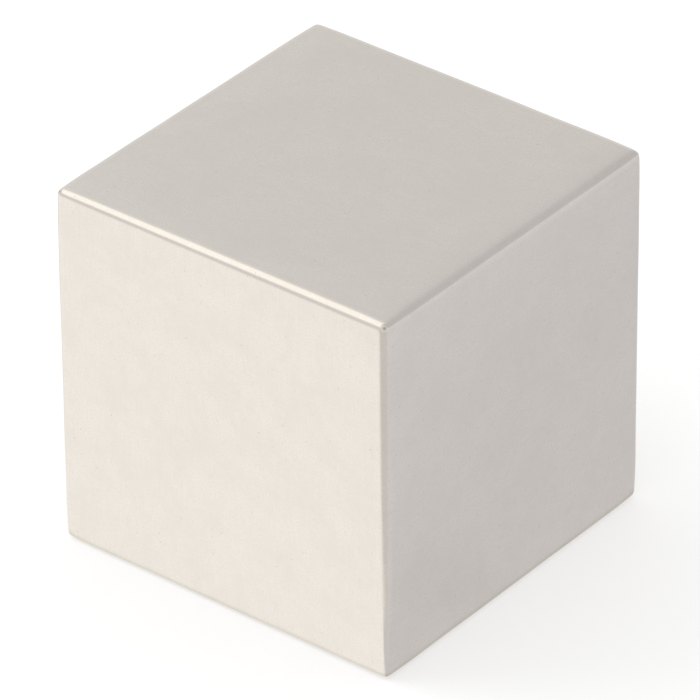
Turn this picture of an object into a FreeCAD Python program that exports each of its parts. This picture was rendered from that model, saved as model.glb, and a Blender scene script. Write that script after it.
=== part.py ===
import FreeCAD, Part
import os
import Sketcher

# Block magnet: one cube of sintered magnet alloy, ground flat on its sides and nickel plated.
# Its edges and corners are rounded by tumbling before the plating goes on.
# The frame stands the block on one pole face: origin at the middle of that face, +Z up,
# +X through the right side face and -Y through the front side face. Lengths are in millimetres.

# Driving dimensions, measured over the plating.
SIZES = (
    ("block_length", 25.0, "between the left and right side faces, along X"),
    ("block_width", 25.0, "between the front and back side faces, along Y"),
    ("block_height", 25.0, "between the two pole faces, along Z"),
    ("edge_radius", 0.45, "tumbled round on every edge, and on every corner as a ball"),
)

VERTEX_START = 1
VERTEX_END = 2
ORIGIN_POINT = (-1, 1)


def add_sizes(doc):
    """The sheet of driving dimensions: name, value and meaning, one row each."""
    sheet = doc.addObject("Spreadsheet::Sheet", "Sizes")
    for row, (name, value, meaning) in enumerate(SIZES, start=1):
        sheet.set(f"A{row}", name)
        sheet.set(f"B{row}", str(value))
        sheet.setAlias(f"B{row}", name)
        sheet.set(f"C{row}", meaning)
    doc.recompute()
    return sheet


def origin_plane(body, role):
    """The body's own origin plane of that role, such as XY_Plane."""
    planes = [plane for plane in body.Origin.OriginFeatures if plane.Role == role]
    return planes[0]


def bind(sketch, constraint, name, formula):
    """Adds a named length to the sketch and ties it to a formula of the sheet's sizes."""
    index = sketch.addConstraint(constraint)
    sketch.renameConstraint(index, name)
    sketch.setExpression(f"Constraints.{name}", formula)


def ground_outline(body, sheet):
    """The block's plan: a rectangle centred on the origin, drawn on the lower pole face."""
    sketch = body.newObject("Sketcher::SketchObject", "GroundOutline")
    sketch.AttachmentSupport = [(origin_plane(body, "XY_Plane"), "")]
    sketch.MapMode = "FlatFace"

    half_x = sheet.block_length / 2
    half_y = sheet.block_width / 2
    corners = [
        FreeCAD.Vector(-half_x, -half_y, 0),
        FreeCAD.Vector(half_x, -half_y, 0),
        FreeCAD.Vector(half_x, half_y, 0),
        FreeCAD.Vector(-half_x, half_y, 0),
    ]
    front, right, back, left = [
        sketch.addGeometry(Part.LineSegment(start, end))
        for start, end in zip(corners, corners[1:] + corners[:1])
    ]
    sides = (front, right, back, left)
    for side, following in zip(sides, sides[1:] + sides[:1]):
        sketch.addConstraint(
            Sketcher.Constraint("Coincident", side, VERTEX_END, following, VERTEX_START)
        )
    for level in (front, back):
        sketch.addConstraint(Sketcher.Constraint("Horizontal", level))
    for upright in (right, left):
        sketch.addConstraint(Sketcher.Constraint("Vertical", upright))
    sketch.addConstraint(
        Sketcher.Constraint("Symmetric", front, VERTEX_START, back, VERTEX_START, *ORIGIN_POINT)
    )
    bind(
        sketch,
        Sketcher.Constraint("DistanceX", front, VERTEX_START, front, VERTEX_END, 2 * half_x),
        "length",
        "Sizes.block_length",
    )
    bind(
        sketch,
        Sketcher.Constraint("DistanceY", right, VERTEX_START, right, VERTEX_END, 2 * half_y),
        "width",
        "Sizes.block_width",
    )
    return sketch


def magnet_block(doc, sheet):
    """The magnet: the ground block with all its edges and corners tumbled round."""
    body = doc.addObject("PartDesign::Body", "MagnetBlock")
    body.Label = "magnet_block"

    ground_block = body.newObject("PartDesign::Pad", "GroundBlock")
    ground_block.Profile = ground_outline(body, sheet)
    ground_block.setExpression("Length", "Sizes.block_height")
    doc.recompute()

    tumbled_edges = body.newObject("PartDesign::Fillet", "TumbledEdges")
    tumbled_edges.Base = (ground_block, ["Face1"])
    tumbled_edges.UseAllEdges = True
    tumbled_edges.setExpression("Radius", "Sizes.edge_radius")
    doc.recompute()
    return body


def check_document(doc, pieces):
    """Stops if an object of the document failed, or if a piece isn't one sound solid."""
    for item in doc.Objects:
        if "Invalid" in item.State or "Error" in item.State:
            raise RuntimeError(f"{item.Label} did not build: {item.State}")
    for piece in pieces:
        shape = piece.Shape
        if shape.isNull() or not shape.isValid() or len(shape.Solids) != 1:
            raise RuntimeError(f"{piece.Label} is not one sound solid")


def write_parts(pieces, folder="parts"):
    """Writes each piece to its own STEP file, named by its label."""
    os.makedirs(folder, exist_ok=True)
    for piece in pieces:
        piece.Shape.exportStep(os.path.join(folder, f"{piece.Label}.step"))
        box = piece.Shape.BoundBox
        print(
            f"{piece.Label}: {box.XLength:.3f} x {box.YLength:.3f} x {box.ZLength:.3f} mm, "
            f"{piece.Shape.Volume:.3f} mm3, {len(piece.Shape.Faces)} faces"
        )


document = FreeCAD.newDocument("BlockMagnet")
sizes = add_sizes(document)
pieces = [magnet_block(document, sizes)]
document.recompute()
check_document(document, pieces)
write_parts(pieces)
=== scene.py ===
import math

import bmesh
import bpy
from mathutils import Matrix, Vector, noise


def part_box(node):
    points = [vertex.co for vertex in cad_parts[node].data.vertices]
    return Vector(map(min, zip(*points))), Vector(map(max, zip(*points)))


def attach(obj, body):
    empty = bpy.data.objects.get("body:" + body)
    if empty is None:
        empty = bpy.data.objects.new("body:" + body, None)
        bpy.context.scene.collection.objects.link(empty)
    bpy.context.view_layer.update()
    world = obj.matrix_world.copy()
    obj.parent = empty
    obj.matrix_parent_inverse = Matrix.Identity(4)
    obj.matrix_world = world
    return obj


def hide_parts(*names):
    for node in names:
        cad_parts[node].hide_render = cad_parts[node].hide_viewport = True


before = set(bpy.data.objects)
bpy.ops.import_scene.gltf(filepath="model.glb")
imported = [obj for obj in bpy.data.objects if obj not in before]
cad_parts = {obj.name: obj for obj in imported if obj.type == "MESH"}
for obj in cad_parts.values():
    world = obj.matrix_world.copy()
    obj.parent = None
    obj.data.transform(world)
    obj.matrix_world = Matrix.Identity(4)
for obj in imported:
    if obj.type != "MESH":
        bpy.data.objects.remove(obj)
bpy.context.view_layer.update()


# The magnet block
# One cube of sintered magnet alloy. It is ground flat on its six faces, then tumbled until
# its edges and corners are round, and last plated with nickel over copper and nickel.

block_low, block_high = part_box("magnet_block")
block_centre = (Vector(block_low) + Vector(block_high)) / 2
half_sides = (Vector(block_high) - Vector(block_low)) / 2

ROUND_REACH = 0.00066        # how far the round reaches in from each edge
ROUND_POWER = 2.8            # 2 would be a plain arc; more makes it start softly
ROUND_UNEVEN = 0.10          # share by which tumbling varies the reach along an edge
UNEVEN_SPACING = 0.004       # metres between one wider and one narrower stretch
ROUND_LEAN = 0.10            # share by which the upper right is rounded more, and the lower left less
SHOULDER_WIDTH = 0.0024      # the strip inside each edge that tumbling also wears
SHOULDER_DROP = 0.000068     # how far that wear takes the face down at the sharp edge
ROUND_STEPS = 12             # mesh lines from the middle of the round to the shoulder
SHOULDER_STEPS = 7           # from there to the flat
FLAT_STEPS = 16              # and over the whole flat
CROWDING = 1.5               # how much closer the shoulder's lines lie towards the round


def mesh_lines(half):
    """Where the mesh lines cross a side: close over the rounds, wider over the flat."""
    quarter = math.pi / 4
    flat_edge = half - ROUND_REACH
    shoulder_edge = flat_edge - SHOULDER_WIDTH
    lines = [shoulder_edge * step / (FLAT_STEPS / 2) for step in range(FLAT_STEPS // 2)]
    for step in range(SHOULDER_STEPS):
        share = step / SHOULDER_STEPS
        lines.append(shoulder_edge + SHOULDER_WIDTH * (1 - (1 - share) ** CROWDING))
    for step in range(ROUND_STEPS + 1):
        lines.append(flat_edge + ROUND_REACH * math.tan(quarter * step / ROUND_STEPS))
    return [-line for line in reversed(lines[1:])] + lines


def shoulder(distance):
    """How far a face has dropped, that distance in from its edge."""
    share = max(0.0, 1 - max(0.0, distance) / (SHOULDER_WIDTH + ROUND_REACH))
    return SHOULDER_DROP * share ** 2


def tumbled(point):
    """The worn place of a point of the sharp ground block, both about the block's centre."""
    uneven = ROUND_UNEVEN * noise.noise(point / UNEVEN_SPACING)
    lean = ROUND_LEAN * (point.x + point.z) / (half_sides.x + half_sides.z)
    reach = ROUND_REACH * (1 + uneven + lean)
    core = Vector([
        max(reach - half, min(half - reach, c))
        for c, half in zip(point, half_sides)
    ])
    out = point - core
    length = sum(abs(c) ** ROUND_POWER for c in out) ** (1 / ROUND_POWER)
    place = core + out * (reach / length)
    facing = [abs(c) / reach for c in place - core]
    inside = [half - abs(c) for c, half in zip(point, half_sides)]
    for axis in range(3):
        drop = sum(shoulder(inside[other]) for other in range(3) if other != axis)
        place[axis] -= math.copysign(drop * facing[axis] ** 2, place[axis])
    return place


def block_mesh(name):
    """The plated block as one closed shell of quads."""
    lines = [mesh_lines(half) for half in half_sides]
    last = len(lines[0]) - 1
    bm = bmesh.new()
    corners = {}

    def corner(i, j, k):
        if (i, j, k) not in corners:
            sharp = Vector((lines[0][i], lines[1][j], lines[2][k]))
            corners[i, j, k] = bm.verts.new(tumbled(sharp) + block_centre)
        return corners[i, j, k]

    for a in range(last):
        for b in range(last):
            square = ((a, b), (a + 1, b), (a + 1, b + 1), (a, b + 1))
            for end, order in ((0, -1), (last, 1)):
                around = square[::order]
                bm.faces.new([corner(u, v, end) for u, v in around])
                bm.faces.new([corner(end, u, v) for u, v in around])
                bm.faces.new([corner(v, end, u) for u, v in around])
    mesh = bpy.data.meshes.new(name)
    bm.to_mesh(mesh)
    bm.free()
    mesh.shade_smooth()
    return mesh


# The nickel plate
# A skin about 0.02 mm thick, grown onto the whole block in a plating bath. It is satin and
# faintly cloudy, with a few pinholes. The marks of the grinding show through it, and it is
# smoother where tumbling has rounded the edges. Each corner's tip carries a painted dark
# reflection.

NICKEL = (0.860, 0.807, 0.741, 1)
CLOUDED_NICKEL = (0.827, 0.772, 0.704, 1)
GRAINED_NICKEL = (0.780, 0.732, 0.673, 1)
PITTED_NICKEL = (0.70, 0.65, 0.58, 1)
# painted dark reflection on the tip of each corner
PAINTED_CORNER_REFLECTION = (0.50, 0.45, 0.40, 1)
PLATE_ROUGHNESS = 0.27
CLOUD_DULLS = 0.02           # roughness that the clouds add
MARKS_DULL = 0.03            # and that the grinding marks add
PITS_DULL = 0.12             # and that the pits add
EDGES_SHINE = 0.07           # roughness that tumbling takes off the edges
MARKS_DEPTH = 0.0000007      # metres, as are the next ones
GRAIN_DEPTH = 0.0000007
PIT_DEPTH = 0.0000020
BROAD_CLOUD = 0.0030         # across a large soft patch
SMALL_CLOUD = 0.0009         # and a small one
SPECKLE_SIZE = 0.00016       # across a grain of the plate
MARK_WIDTH = 0.00009         # across one grinding mark
PIT_SPACING = 0.0006         # from one pinhole to the next
RAGGED_SIZE = 0.00008        # across a notch in the rim of a corner's painted dark reflection
EDGE_WIDTH = 0.0012          # how far in the tumbled edges are shinier
CLOUD_LIMITS = (0.34, 0.66)  # the noise at which a cloud starts, and is full
GRAIN_LIMITS = (0.4, 0.8)    # the same for the colour of the grain and the marks
GRAIN_SHOWS = 0.6            # how much of that colour the grain has at most
MARKS_SHOW = 0.25            # and the grinding marks
MARK_STRETCH = 24            # how many times longer than wide a grinding mark is
MARK_FACING = (0.8, 0.95)    # how squarely a surface has to face for its marks to show
PIT_LEAST = 0.03             # smallest radius of a pinhole, as a share of the spacing
PIT_VARIES = 0.08            # and how much larger the others are
PIT_RIM = (0.55, 1.1)        # share of its radius over which a pinhole fades out
EDGE_FADE = (0.3, 1.0)       # share of their width over which the shiny edges do
TIP_ANGLE = math.radians(13) # how far round from its tip each corner's painted dark reflection reaches
TIP_FADE = (0.8, 1.9)        # share of that angle over which the painted dark reflection fades out
TIP_RAGGED = 0.8             # and by which its rim comes in at the notches


def node_group(name, inputs, outputs):
    """An empty shader group with those sockets, and its two end nodes."""
    group = bpy.data.node_groups.new(name, "ShaderNodeTree")
    for socket, kind, value in inputs:
        new = group.interface.new_socket(socket, in_out="INPUT", socket_type=kind)
        if value is not None:
            new.default_value = value
    for socket, kind in outputs:
        group.interface.new_socket(socket, in_out="OUTPUT", socket_type=kind)
    start = group.nodes.new("NodeGroupInput")
    end = group.nodes.new("NodeGroupOutput")
    return group, start, end


def math_node(tree, operation, *values, clamp=False):
    """A Math node; each value is a number or a socket."""
    node = tree.nodes.new("ShaderNodeMath")
    node.operation = operation
    node.use_clamp = clamp
    for socket, value in zip(node.inputs, values):
        if isinstance(value, bpy.types.NodeSocket):
            tree.links.new(value, socket)
        else:
            socket.default_value = value
    return node.outputs[0]


def vector_node(tree, operation, *values):
    """A Vector Math node; each value is a vector, a number for Scale, or a socket."""
    node = tree.nodes.new("ShaderNodeVectorMath")
    node.operation = operation
    sockets = [node.inputs[0], node.inputs["Scale"]] if operation == "SCALE" else node.inputs
    for socket, value in zip(sockets, values):
        if isinstance(value, bpy.types.NodeSocket):
            tree.links.new(value, socket)
        else:
            socket.default_value = value
    return node.outputs["Value" if operation in ("DOT_PRODUCT", "LENGTH") else "Vector"]


def ramp(tree, value, low, high, to_low=0.0, to_high=1.0):
    """A soft step from to_low to to_high as value goes from low to high."""
    node = tree.nodes.new("ShaderNodeMapRange")
    node.interpolation_type = "SMOOTHSTEP"
    tree.links.new(value, node.inputs["Value"])
    node.inputs["From Min"].default_value = low
    node.inputs["From Max"].default_value = high
    node.inputs["To Min"].default_value = to_low
    node.inputs["To Max"].default_value = to_high
    return node.outputs["Result"]


def noise_node(tree, vector, size, detail, roughness=0.5):
    """Noise whose patches are about size metres across."""
    node = tree.nodes.new("ShaderNodeTexNoise")
    tree.links.new(vector_node(tree, "SCALE", vector, 1 / size), node.inputs["Vector"])
    node.inputs["Scale"].default_value = 1.0
    node.inputs["Detail"].default_value = detail
    node.inputs["Roughness"].default_value = roughness
    return node.outputs["Fac"]


def mixed(tree, factor, first, second):
    """Colour that goes from first to second as factor goes from 0 to 1."""
    node = tree.nodes.new("ShaderNodeMix")
    node.data_type = "RGBA"
    for name, value in (("Factor", factor), ("A", first), ("B", second)):
        if isinstance(value, bpy.types.NodeSocket):
            tree.links.new(value, node.inputs[name])
        else:
            node.inputs[name].default_value = value
    return node.outputs["Result"]


def plating_cloud_group():
    """Soft patches where the nickel came out duller, and its fine grain, as masks from 0 to 1."""
    group, start, end = node_group(
        "plating_cloud",
        [("Vector", "NodeSocketVector", None)],
        [("Cloud", "NodeSocketFloat"), ("Speckle", "NodeSocketFloat")],
    )
    vector = start.outputs["Vector"]
    broad = noise_node(group, vector, BROAD_CLOUD, 2.0)
    small = noise_node(group, vector, SMALL_CLOUD, 3.0, 0.75)
    average = math_node(group, "MULTIPLY", math_node(group, "ADD", broad, small), 0.5)
    group.links.new(ramp(group, average, *CLOUD_LIMITS), end.inputs["Cloud"])
    speckle = noise_node(group, vector, SPECKLE_SIZE, 2.0, 0.6)
    group.links.new(speckle, end.inputs["Speckle"])
    return group


def edge_polish_and_painted_corner_reflection_group():
    """Edges polished in the barrel, and each corner tip's painted dark reflection, as masks from 0 to
    1.
    """
    group, start, end = node_group(
        "edge_polish_and_painted_corner_reflection",
        [
            ("Vector", "NodeSocketVector", None),
            ("Normal", "NodeSocketVector", None),
            ("Edge Width", "NodeSocketFloat", 0.001),
        ],
        [("Edge", "NodeSocketFloat"), ("Tip", "NodeSocketFloat")],
    )
    about_centre = vector_node(group, "SUBTRACT", start.outputs["Vector"], tuple(block_centre))
    size = vector_node(group, "ABSOLUTE", about_centre)
    parts = group.nodes.new("ShaderNodeSeparateXYZ")
    group.links.new(size, parts.inputs[0])
    inside = [
        math_node(group, "SUBTRACT", half, part)
        for half, part in zip(half_sides, parts.outputs)
    ]
    least, most, total = [
        math_node(group, operation, math_node(group, operation, *inside[:2]), inside[2])
        for operation in ("MINIMUM", "MAXIMUM", "ADD")
    ]
    second = math_node(group, "SUBTRACT", math_node(group, "SUBTRACT", total, least), most)
    share = math_node(group, "DIVIDE", second, start.outputs["Edge Width"])
    group.links.new(ramp(group, share, *EDGE_FADE, 1.0, 0.0), end.inputs["Edge"])
    # The tip mask: where a painted dark reflection lies round each corner's tip.
    outward = vector_node(group, "ABSOLUTE", start.outputs["Normal"])
    corner_way = tuple(Vector((1, 1, 1)).normalized())
    angle = math_node(group, "ARCCOSINE", vector_node(group, "DOT_PRODUCT", outward, corner_way))
    notches = noise_node(group, start.outputs["Vector"], RAGGED_SIZE, 2.0)
    ragged = math_node(group, "MULTIPLY", notches, TIP_RAGGED * TIP_ANGLE)
    rim = math_node(group, "ADD", angle, ragged)
    fade = [share_of_angle * TIP_ANGLE for share_of_angle in TIP_FADE]
    tip = ramp(group, rim, *fade, 1.0, 0.0)
    group.links.new(tip, end.inputs["Tip"])
    return group


def pits_group():
    """Pinholes in the plating: round specks of several sizes, as a mask from 0 to 1."""
    group, start, end = node_group(
        "pits",
        [("Vector", "NodeSocketVector", None), ("Spacing", "NodeSocketFloat", PIT_SPACING)],
        [("Pits", "NodeSocketFloat")],
    )
    cells = group.nodes.new("ShaderNodeTexVoronoi")
    cells.inputs["Scale"].default_value = 1.0
    spread = math_node(group, "DIVIDE", 1.0, start.outputs["Spacing"])
    scaled = vector_node(group, "SCALE", start.outputs["Vector"], spread)
    group.links.new(scaled, cells.inputs["Vector"])
    chance = group.nodes.new("ShaderNodeSeparateXYZ")
    group.links.new(cells.outputs["Color"], chance.inputs[0])
    larger = math_node(group, "MULTIPLY", chance.outputs["X"], PIT_VARIES)
    radius = math_node(group, "ADD", larger, PIT_LEAST)
    share = math_node(group, "DIVIDE", cells.outputs["Distance"], radius)
    group.links.new(ramp(group, share, *PIT_RIM, 1.0, 0.0), end.inputs["Pits"])
    return group


def grinding_marks_group():
    """Fine straight marks of the grinding wheel, across each pair of faces, as a height."""
    group, start, end = node_group(
        "grinding_marks",
        [("Vector", "NodeSocketVector", None), ("Normal", "NodeSocketVector", None)],
        [("Marks", "NodeSocketFloat")],
    )
    facing = group.nodes.new("ShaderNodeSeparateXYZ")
    group.links.new(vector_node(group, "ABSOLUTE", start.outputs["Normal"]), facing.inputs[0])
    marks = None
    stretches = ((1, MARK_STRETCH, 1), (1, 1, MARK_STRETCH), (MARK_STRETCH, 1, 1))
    for part, stretch in zip(facing.outputs, stretches):
        stretched = vector_node(group, "DIVIDE", start.outputs["Vector"], stretch)
        lines = noise_node(group, stretched, MARK_WIDTH, 1.0)
        here = math_node(group, "MULTIPLY", lines, ramp(group, part, *MARK_FACING))
        marks = here if marks is None else math_node(group, "ADD", marks, here)
    group.links.new(marks, end.inputs["Marks"])
    return group


def placed(tree, group, inputs):
    """The group as a node of that tree, with a value or a socket for each input named."""
    node = tree.nodes.new("ShaderNodeGroup")
    node.node_tree = group
    for name, value in inputs.items():
        if isinstance(value, bpy.types.NodeSocket):
            tree.links.new(value, node.inputs[name])
        else:
            node.inputs[name].default_value = value
    return node


def nickel_plate_material():
    """Satin nickel plate."""
    material = bpy.data.materials.new("nickel_plate")
    material.use_nodes = True
    tree = material.node_tree
    shader = tree.nodes["Principled BSDF"]
    shader.inputs["Metallic"].default_value = 1.0
    coordinates = tree.nodes.new("ShaderNodeTexCoord")
    where = coordinates.outputs["Object"]
    outward = coordinates.outputs["Normal"]

    plating = placed(tree, plating_cloud_group(), {"Vector": where})
    cloud, speckle = plating.outputs
    edge_polish_and_painted_corner_reflection = placed(
        tree, edge_polish_and_painted_corner_reflection_group(), {"Vector": where, "Normal": outward, "Edge Width": EDGE_WIDTH}
    )
    edge, tip = edge_polish_and_painted_corner_reflection.outputs
    marks = placed(tree, grinding_marks_group(), {"Vector": where, "Normal": outward}).outputs[0]
    pits = placed(tree, pits_group(), {"Vector": where}).outputs[0]

    grained = ramp(tree, speckle, *GRAIN_LIMITS, 0.0, GRAIN_SHOWS)
    ground = ramp(tree, marks, *GRAIN_LIMITS, 0.0, MARKS_SHOW)
    colour = mixed(tree, cloud, NICKEL, CLOUDED_NICKEL)
    colour = mixed(tree, math_node(tree, "ADD", grained, ground), colour, GRAINED_NICKEL)
    colour = mixed(tree, pits, colour, PITTED_NICKEL)
    # Each corner's tip gets a painted dark reflection.
    colour = mixed(tree, tip, colour, PAINTED_CORNER_REFLECTION)
    tree.links.new(colour, shader.inputs["Base Color"])

    roughness = math_node(tree, "MULTIPLY", edge, -EDGES_SHINE)
    for mask, added in ((cloud, CLOUD_DULLS), (marks, MARKS_DULL), (pits, PITS_DULL)):
        roughness = math_node(tree, "ADD", roughness, math_node(tree, "MULTIPLY", mask, added))
    roughness = math_node(tree, "ADD", roughness, PLATE_ROUGHNESS - MARKS_DULL / 2)
    tree.links.new(roughness, shader.inputs["Roughness"])

    height = math_node(tree, "MULTIPLY", marks, MARKS_DEPTH)
    for mask, added in ((speckle, GRAIN_DEPTH), (pits, -PIT_DEPTH)):
        height = math_node(tree, "ADD", height, math_node(tree, "MULTIPLY", mask, added))
    bump = tree.nodes.new("ShaderNodeBump")
    bump.inputs["Distance"].default_value = 1.0
    tree.links.new(height, bump.inputs["Height"])
    tree.links.new(bump.outputs["Normal"], shader.inputs["Normal"])
    return material


block = bpy.data.objects.new("plated_block", block_mesh("plated_block"))
bpy.context.scene.collection.objects.link(block)
block.data.materials.append(nickel_plate_material())
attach(block, "root")
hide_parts("magnet_block")


# The sheet
# A wide sheet of smooth white card that the block stands on. It runs out of the picture on
# every side, and takes the block's soft shadow.

SHEET_SIDE = 4.0
SHEET_WHITE = (0.72, 0.72, 0.72, 1)
SHEET_LIFT = 0.382           # what brings the lit card up to the white of the background
SHEET_GAP = 0.000002         # metres below the block, so that their faces don't coincide


def plain_square(name, side, height):
    """A square sheet about the origin."""
    bm = bmesh.new()
    bmesh.ops.create_grid(bm, x_segments=1, y_segments=1, size=side / 2)
    bmesh.ops.translate(bm, verts=bm.verts, vec=(0, 0, height))
    mesh = bpy.data.meshes.new(name)
    bm.to_mesh(mesh)
    bm.free()
    piece = bpy.data.objects.new(name, mesh)
    bpy.context.scene.collection.objects.link(piece)
    return piece


def background_rays(tree):
    """1 for rays that should meet the plain background: the camera's, mirrored and clear ones."""
    path = tree.nodes.new("ShaderNodeLightPath")
    seen = math_node(tree, "ADD", path.outputs["Is Camera Ray"], path.outputs["Is Glossy Ray"])
    return math_node(tree, "ADD", seen, path.outputs["Is Transmission Ray"], clamp=True)


def sheet_material():
    """White card, lifted to plain white where the camera or the metal sees it."""
    material = bpy.data.materials.new("white_card")
    material.use_nodes = True
    material.cycles.emission_sampling = "NONE"
    tree = material.node_tree
    tree.nodes.remove(tree.nodes["Principled BSDF"])
    output = tree.nodes["Material Output"]
    card = tree.nodes.new("ShaderNodeBsdfDiffuse")
    card.inputs["Color"].default_value = SHEET_WHITE
    glow = tree.nodes.new("ShaderNodeEmission")
    lift = math_node(tree, "MULTIPLY", background_rays(tree), SHEET_LIFT)
    tree.links.new(lift, glow.inputs["Strength"])
    both = tree.nodes.new("ShaderNodeAddShader")
    tree.links.new(card.outputs[0], both.inputs[0])
    tree.links.new(glow.outputs[0], both.inputs[1])
    tree.links.new(both.outputs[0], output.inputs["Surface"])
    return material


sheet = plain_square("sheet", SHEET_SIDE, block_low[2] - SHEET_GAP)
sheet.data.materials.append(sheet_material())


# The light tent
# Cloth walls round the block, which only the metal sees. Their light and shade are painted
# into their glow: brightest along a painted strip lamp that stands for the key lamp at the upper
# left, and dimmer behind the block.

TENT_RADIUS = 1.5
TENT_CLOTH = (0.76, 0.76, 0.77, 1)
# The way to each dimmer or lighter patch, the cosines at its rim and core, and its colour.
TENT_PATCHES = (
    ((-0.52, 0.66, 0.54), 0.88, 0.995, (0.639, 0.644, 0.660, 1)),
    ((-0.60, 0.78, 0.16), 0.90, 0.99, (0.800, 0.800, 0.815, 1)),
    ((0.28, 0.65, 0.70), 0.62, 0.90, (0.585, 0.587, 0.612, 1)),
)
# The strip lamp, a painted reflection of the key lamp, with its measures taken on a sphere of
# radius 1 round the block.
PAINTED_LAMP_GLOW = (1.20, 1.195, 1.17, 1)
LAMP_MIDDLE = Vector((-0.55, -0.12, 0.83)).normalized()
LAMP_ALONG = Vector((0, 1, 0))
LAMP_ACROSS = LAMP_MIDDLE.cross(LAMP_ALONG).normalized()
LAMP_OFFSET = 0.15           # how far the strip's middle lies to the front
LAMP_SIDES = (0.22, 0.34)    # where the strip begins to fade and is gone, to its sides
LAMP_ENDS = (0.40, 0.62)     # and to its ends
HALO_SIDES = (0.30, 0.55)    # the same for the weak glow on the cloth behind its back end
HALO_BACK = (0.56, 0.65)
HALO_START = (0.20, 0.40)
HALO_SHARE = 0.25            # how strong that glow is beside the lamp's
MIRROR_ONLY = (
    "visible_camera",
    "visible_diffuse",
    "visible_transmission",
    "visible_volume_scatter",
    "visible_shadow",
)


def seen_only_in_metal(piece):
    """Leaves the piece out of every view and shadow, apart from what the metal mirrors."""
    for ray in MIRROR_ONLY:
        setattr(piece, ray, False)


def emission_material(name):
    """A material that only glows, and the tree and sockets to shape it with."""
    material = bpy.data.materials.new(name)
    material.use_nodes = True
    material.cycles.emission_sampling = "NONE"
    tree = material.node_tree
    tree.nodes.remove(tree.nodes["Principled BSDF"])
    glow = tree.nodes.new("ShaderNodeEmission")
    tree.links.new(glow.outputs[0], tree.nodes["Material Output"].inputs["Surface"])
    coordinates = tree.nodes.new("ShaderNodeTexCoord")
    return material, tree, glow, coordinates.outputs["Object"]


def tent_material():
    """The tent's cloth as it is lit."""
    material, tree, glow, where = emission_material("tent_cloth")
    way = vector_node(tree, "NORMALIZE", where)

    def towards(direction, low, high):
        aim = Vector(direction).normalized()
        return ramp(tree, vector_node(tree, "DOT_PRODUCT", way, tuple(aim)), low, high)

    def product(*values):
        result = values[0]
        for value in values[1:]:
            result = math_node(tree, "MULTIPLY", result, value)
        return result

    cloth = TENT_CLOTH
    for direction, rim, core, colour in TENT_PATCHES:
        cloth = mixed(tree, towards(direction, rim, core), cloth, colour)
    sideways = vector_node(tree, "DOT_PRODUCT", way, tuple(LAMP_ACROSS))
    across = math_node(tree, "ABSOLUTE", sideways)
    back_way = vector_node(tree, "DOT_PRODUCT", way, tuple(LAMP_ALONG))
    along = math_node(tree, "ABSOLUTE", math_node(tree, "ADD", back_way, LAMP_OFFSET))
    ahead = towards(LAMP_MIDDLE, 0.0, 0.1)
    lamp = product(
        ramp(tree, across, *LAMP_SIDES, 1.0, 0.0),
        ramp(tree, along, *LAMP_ENDS, 1.0, 0.0),
        ahead,
    )
    halo = product(
        ramp(tree, across, *HALO_SIDES, 1.0, 0.0),
        ramp(tree, back_way, *HALO_BACK, 1.0, 0.0),
        ramp(tree, back_way, *HALO_START, 0.0, HALO_SHARE),
        ahead,
    )
    # painted glow: the key lamp's reflection, and a weak halo on the cloth behind it
    cloth = mixed(tree, halo, cloth, PAINTED_LAMP_GLOW)
    cloth = mixed(tree, lamp, cloth, PAINTED_LAMP_GLOW)
    tree.links.new(cloth, glow.inputs["Color"])
    return material


bm = bmesh.new()
bmesh.ops.create_icosphere(bm, subdivisions=5, radius=TENT_RADIUS)
tent_mesh = bpy.data.meshes.new("tent")
bm.to_mesh(tent_mesh)
bm.free()
tent = bpy.data.objects.new("tent", tent_mesh)
bpy.context.scene.collection.objects.link(tent)
tent.data.materials.append(tent_material())
seen_only_in_metal(tent)


# The glowing sheet that the metal mirrors, with painted shade
# A glowing sheet just above the card, which only the metal sees: what the upright faces mirror
# lies on it, close by. It is white at the front and the left, with light grey painted shade at
# the right for the sheet in the block's shadow, and the dimmer cloth all round. Under the block
# runs a painted contact shadow, and behind it the white is dimmed by painted shade.

MIRRORED_SHEET_HEIGHT = 0.00001
WHITE_CARD = (1.024, 1.021, 1.012, 1)
SHADED_WHITE_BEHIND = (0.78, 0.78, 0.77, 1)     # the white on the far side of the block, dimmed by painted shade
PAINTED_SHADE_NEAR = (0.655, 0.659, 0.686, 1)     # painted shade beside the right face, for the sheet in the block's shadow
GREY_SHADED = (0.628, 0.631, 0.654, 1)   # where the block shades it
# the same painted shade, paler in front of the block and farther out
PAINTED_SHADE_IN_FRONT = (0.704, 0.708, 0.737, 1)
PAINTED_SHADE_FAR = (0.725, 0.728, 0.752, 1)
GREY_WARM = (0.672, 0.655, 0.652, 1)     # its front end, with painted warm bounce light from the white beside it
CONTACT_SHADOW_LIGHT = (0.84, 0.83, 0.80, 1)       # painted contact shadow along the line under the block
CONTACT_SHADOW_DARK = (0.42, 0.42, 0.40, 1)        # the same painted contact shadow, darker at its right side
GREY_SIDE = Vector((0.88, -0.475, 0)).normalized()   # the way in which the white turns grey
SHADED_PLACE = (0.0170, -0.0022, 0)
# Where each change of tone starts and ends, in metres.
TURNS_GREY = (0.0172, 0.0285)            # along that way
TURNS_PALER = (0.0180, 0.0225)
SHADE_RIM = (0.0015, 0.0055)             # from the shaded place
BESIDE_FACE = (0.0118, 0.0132)           # along X
FOOT_DARKENS = (0.0118, 0.0130)
GREY_FADES = (0.032, 0.050)
BEHIND_NEAR_EDGE = (-0.022, -0.017)      # along Y
WARM_ENDS = (-0.022, -0.010)
WHITE_DIMS = (-0.014, -0.005)
FOOT_RIM = (0.0124, 0.0131)              # outward from the block's middle
MIRRORED_SHEET_END = (0.09, 0.22)


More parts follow.
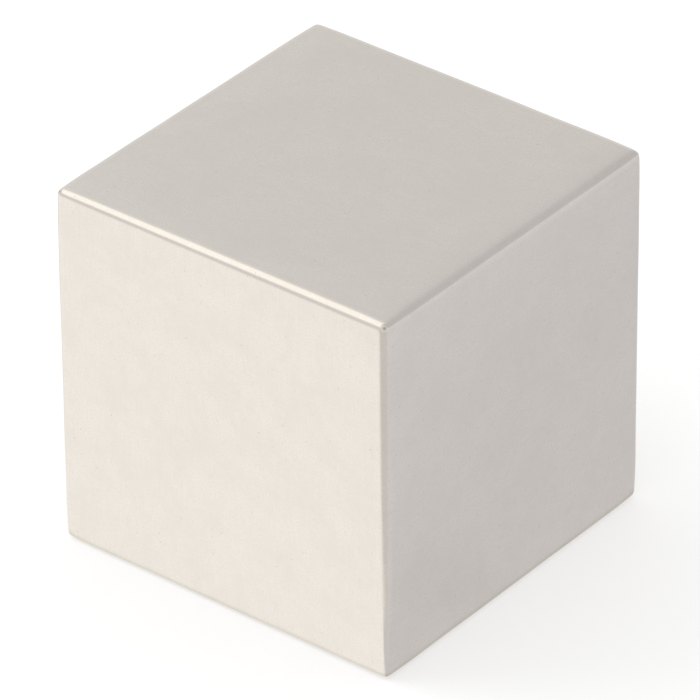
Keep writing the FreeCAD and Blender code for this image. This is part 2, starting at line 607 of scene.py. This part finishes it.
def mirrored_sheet_with_painted_shade_material():
    """The sheet as the metal shows it, by place round the block, with painted shade and contact
    shadow.
    """
    material, tree, glow, where = emission_material("mirrored_sheet_with_painted_shade")
    parts = tree.nodes.new("ShaderNodeSeparateXYZ")
    tree.links.new(where, parts.inputs[0])
    rightward = parts.outputs["X"]
    backward = parts.outputs["Y"]
    across = vector_node(tree, "DOT_PRODUCT", where, tuple(GREY_SIDE))
    in_front = ramp(tree, across, *TURNS_GREY)
    right_of_face = ramp(tree, rightward, *BESIDE_FACE)
    beside = math_node(tree, "MULTIPLY", right_of_face, ramp(tree, backward, *BEHIND_NEAR_EDGE))
    grey = math_node(tree, "MAXIMUM", in_front, beside)
    from_shade = vector_node(tree, "SUBTRACT", where, SHADED_PLACE)
    unshaded = ramp(tree, vector_node(tree, "LENGTH", from_shade), *SHADE_RIM)
    # painted shade: the grey that the right face mirrors stands for the sheet in the block's shadow
    card = mixed(tree, unshaded, GREY_SHADED, PAINTED_SHADE_NEAR)
    card = mixed(tree, ramp(tree, across, *TURNS_PALER), card, PAINTED_SHADE_IN_FRONT)
    card = mixed(tree, ramp(tree, rightward, *GREY_FADES), card, PAINTED_SHADE_FAR)
    # painted warm bounce light at the front end of the grey
    card = mixed(tree, ramp(tree, backward, *WARM_ENDS), GREY_WARM, card)
    # painted shade dims the white behind the block
    white = mixed(tree, ramp(tree, backward, *WHITE_DIMS), WHITE_CARD, SHADED_WHITE_BEHIND)
    tone = mixed(tree, grey, white, card)
    far = ramp(tree, vector_node(tree, "LENGTH", where), *MIRRORED_SHEET_END)
    tone = mixed(tree, far, tone, TENT_CLOTH)
    # painted contact shadow round the block's foot
    contact_shadow = mixed(tree, ramp(tree, rightward, *FOOT_DARKENS), CONTACT_SHADOW_LIGHT, CONTACT_SHADOW_DARK)
    away = [math_node(tree, "ABSOLUTE", part) for part in (rightward, backward)]
    outside = ramp(tree, math_node(tree, "MAXIMUM", *away), *FOOT_RIM)
    tone = mixed(tree, outside, contact_shadow, tone)
    tree.links.new(tone, glow.inputs["Color"])
    return material


mirrored_sheet_with_painted_shade = plain_square("mirrored_sheet_with_painted_shade", SHEET_SIDE, block_low[2] + MIRRORED_SHEET_HEIGHT)
mirrored_sheet_with_painted_shade.data.materials.append(mirrored_sheet_with_painted_shade_material())
seen_only_in_metal(mirrored_sheet_with_painted_shade)


# The light
# One large soft lamp on the left and a little in front, and even light from all round. The
# surround itself shows as plain white.

FILL = 0.86                  # how bright the surround is as a light
KEY_FROM = Vector((-0.62, -0.30, 0.74)).normalized()
KEY_DISTANCE = 0.5
KEY_SIDE = 0.28
KEY_POWER = 0.45

world = bpy.data.worlds.new("studio")
bpy.context.scene.world = world
world.use_nodes = True
world.cycles.sampling_method = "NONE"
surround = world.node_tree.nodes["Background"]
surround.inputs["Color"].default_value = (1, 1, 1, 1)
level = ramp(world.node_tree, background_rays(world.node_tree), 0.0, 1.0, FILL, 1.0)
world.node_tree.links.new(level, surround.inputs["Strength"])

key_data = bpy.data.lights.new("key", "AREA")
key_data.shape = "SQUARE"
key_data.size = KEY_SIDE
key_data.energy = KEY_POWER
key = bpy.data.objects.new("key", key_data)
bpy.context.scene.collection.objects.link(key)
key.location = block_centre + KEY_FROM * KEY_DISTANCE
key.rotation_mode = "QUATERNION"
key.rotation_quaternion = (-KEY_FROM).to_track_quat("-Z", "Y")
key.visible_glossy = False
key.visible_camera = False


# The camera
# It looks down on the near upright edge from about eighteen sides away, and is turned and
# rolled until the block's outline lies over the one in the photograph.

AZIMUTH = math.radians(38.60)
ELEVATION = math.radians(32.96)
ROLL = math.radians(-0.468)
SIDE = 2 * half_sides.x
CAMERA_DISTANCE = 18.196 * SIDE
CAMERA_RIGHT = -0.0027 * SIDE
CAMERA_UP = -0.0121 * SIDE
FRAME_PIXELS = 700           # across the picture
FOCAL_PIXELS = 7560.0
NEAREST = 0.01               # metres between which the camera sees
FARTHEST = 10

back = Vector((
    math.sin(AZIMUTH) * math.cos(ELEVATION),
    -math.cos(AZIMUTH) * math.cos(ELEVATION),
    math.sin(ELEVATION),
))
right = Vector((math.cos(AZIMUTH), math.sin(AZIMUTH), 0))
up = back.cross(right)
rolled_right = math.cos(ROLL) * right + math.sin(ROLL) * up
rolled_up = math.cos(ROLL) * up - math.sin(ROLL) * right
camera_data = bpy.data.cameras.new("camera")
camera_data.lens = camera_data.sensor_width * FOCAL_PIXELS / FRAME_PIXELS
camera_data.clip_start = NEAREST
camera_data.clip_end = FARTHEST
camera = bpy.data.objects.new("camera", camera_data)
bpy.context.scene.collection.objects.link(camera)
turn = Matrix((rolled_right, rolled_up, back)).transposed().to_4x4()
place = block_centre + back * CAMERA_DISTANCE
place += rolled_right * CAMERA_RIGHT
place += rolled_up * CAMERA_UP
camera.matrix_world = Matrix.Translation(place) @ turn
bpy.context.scene.camera = camera
bpy.context.scene.view_settings.view_transform = "Standard"
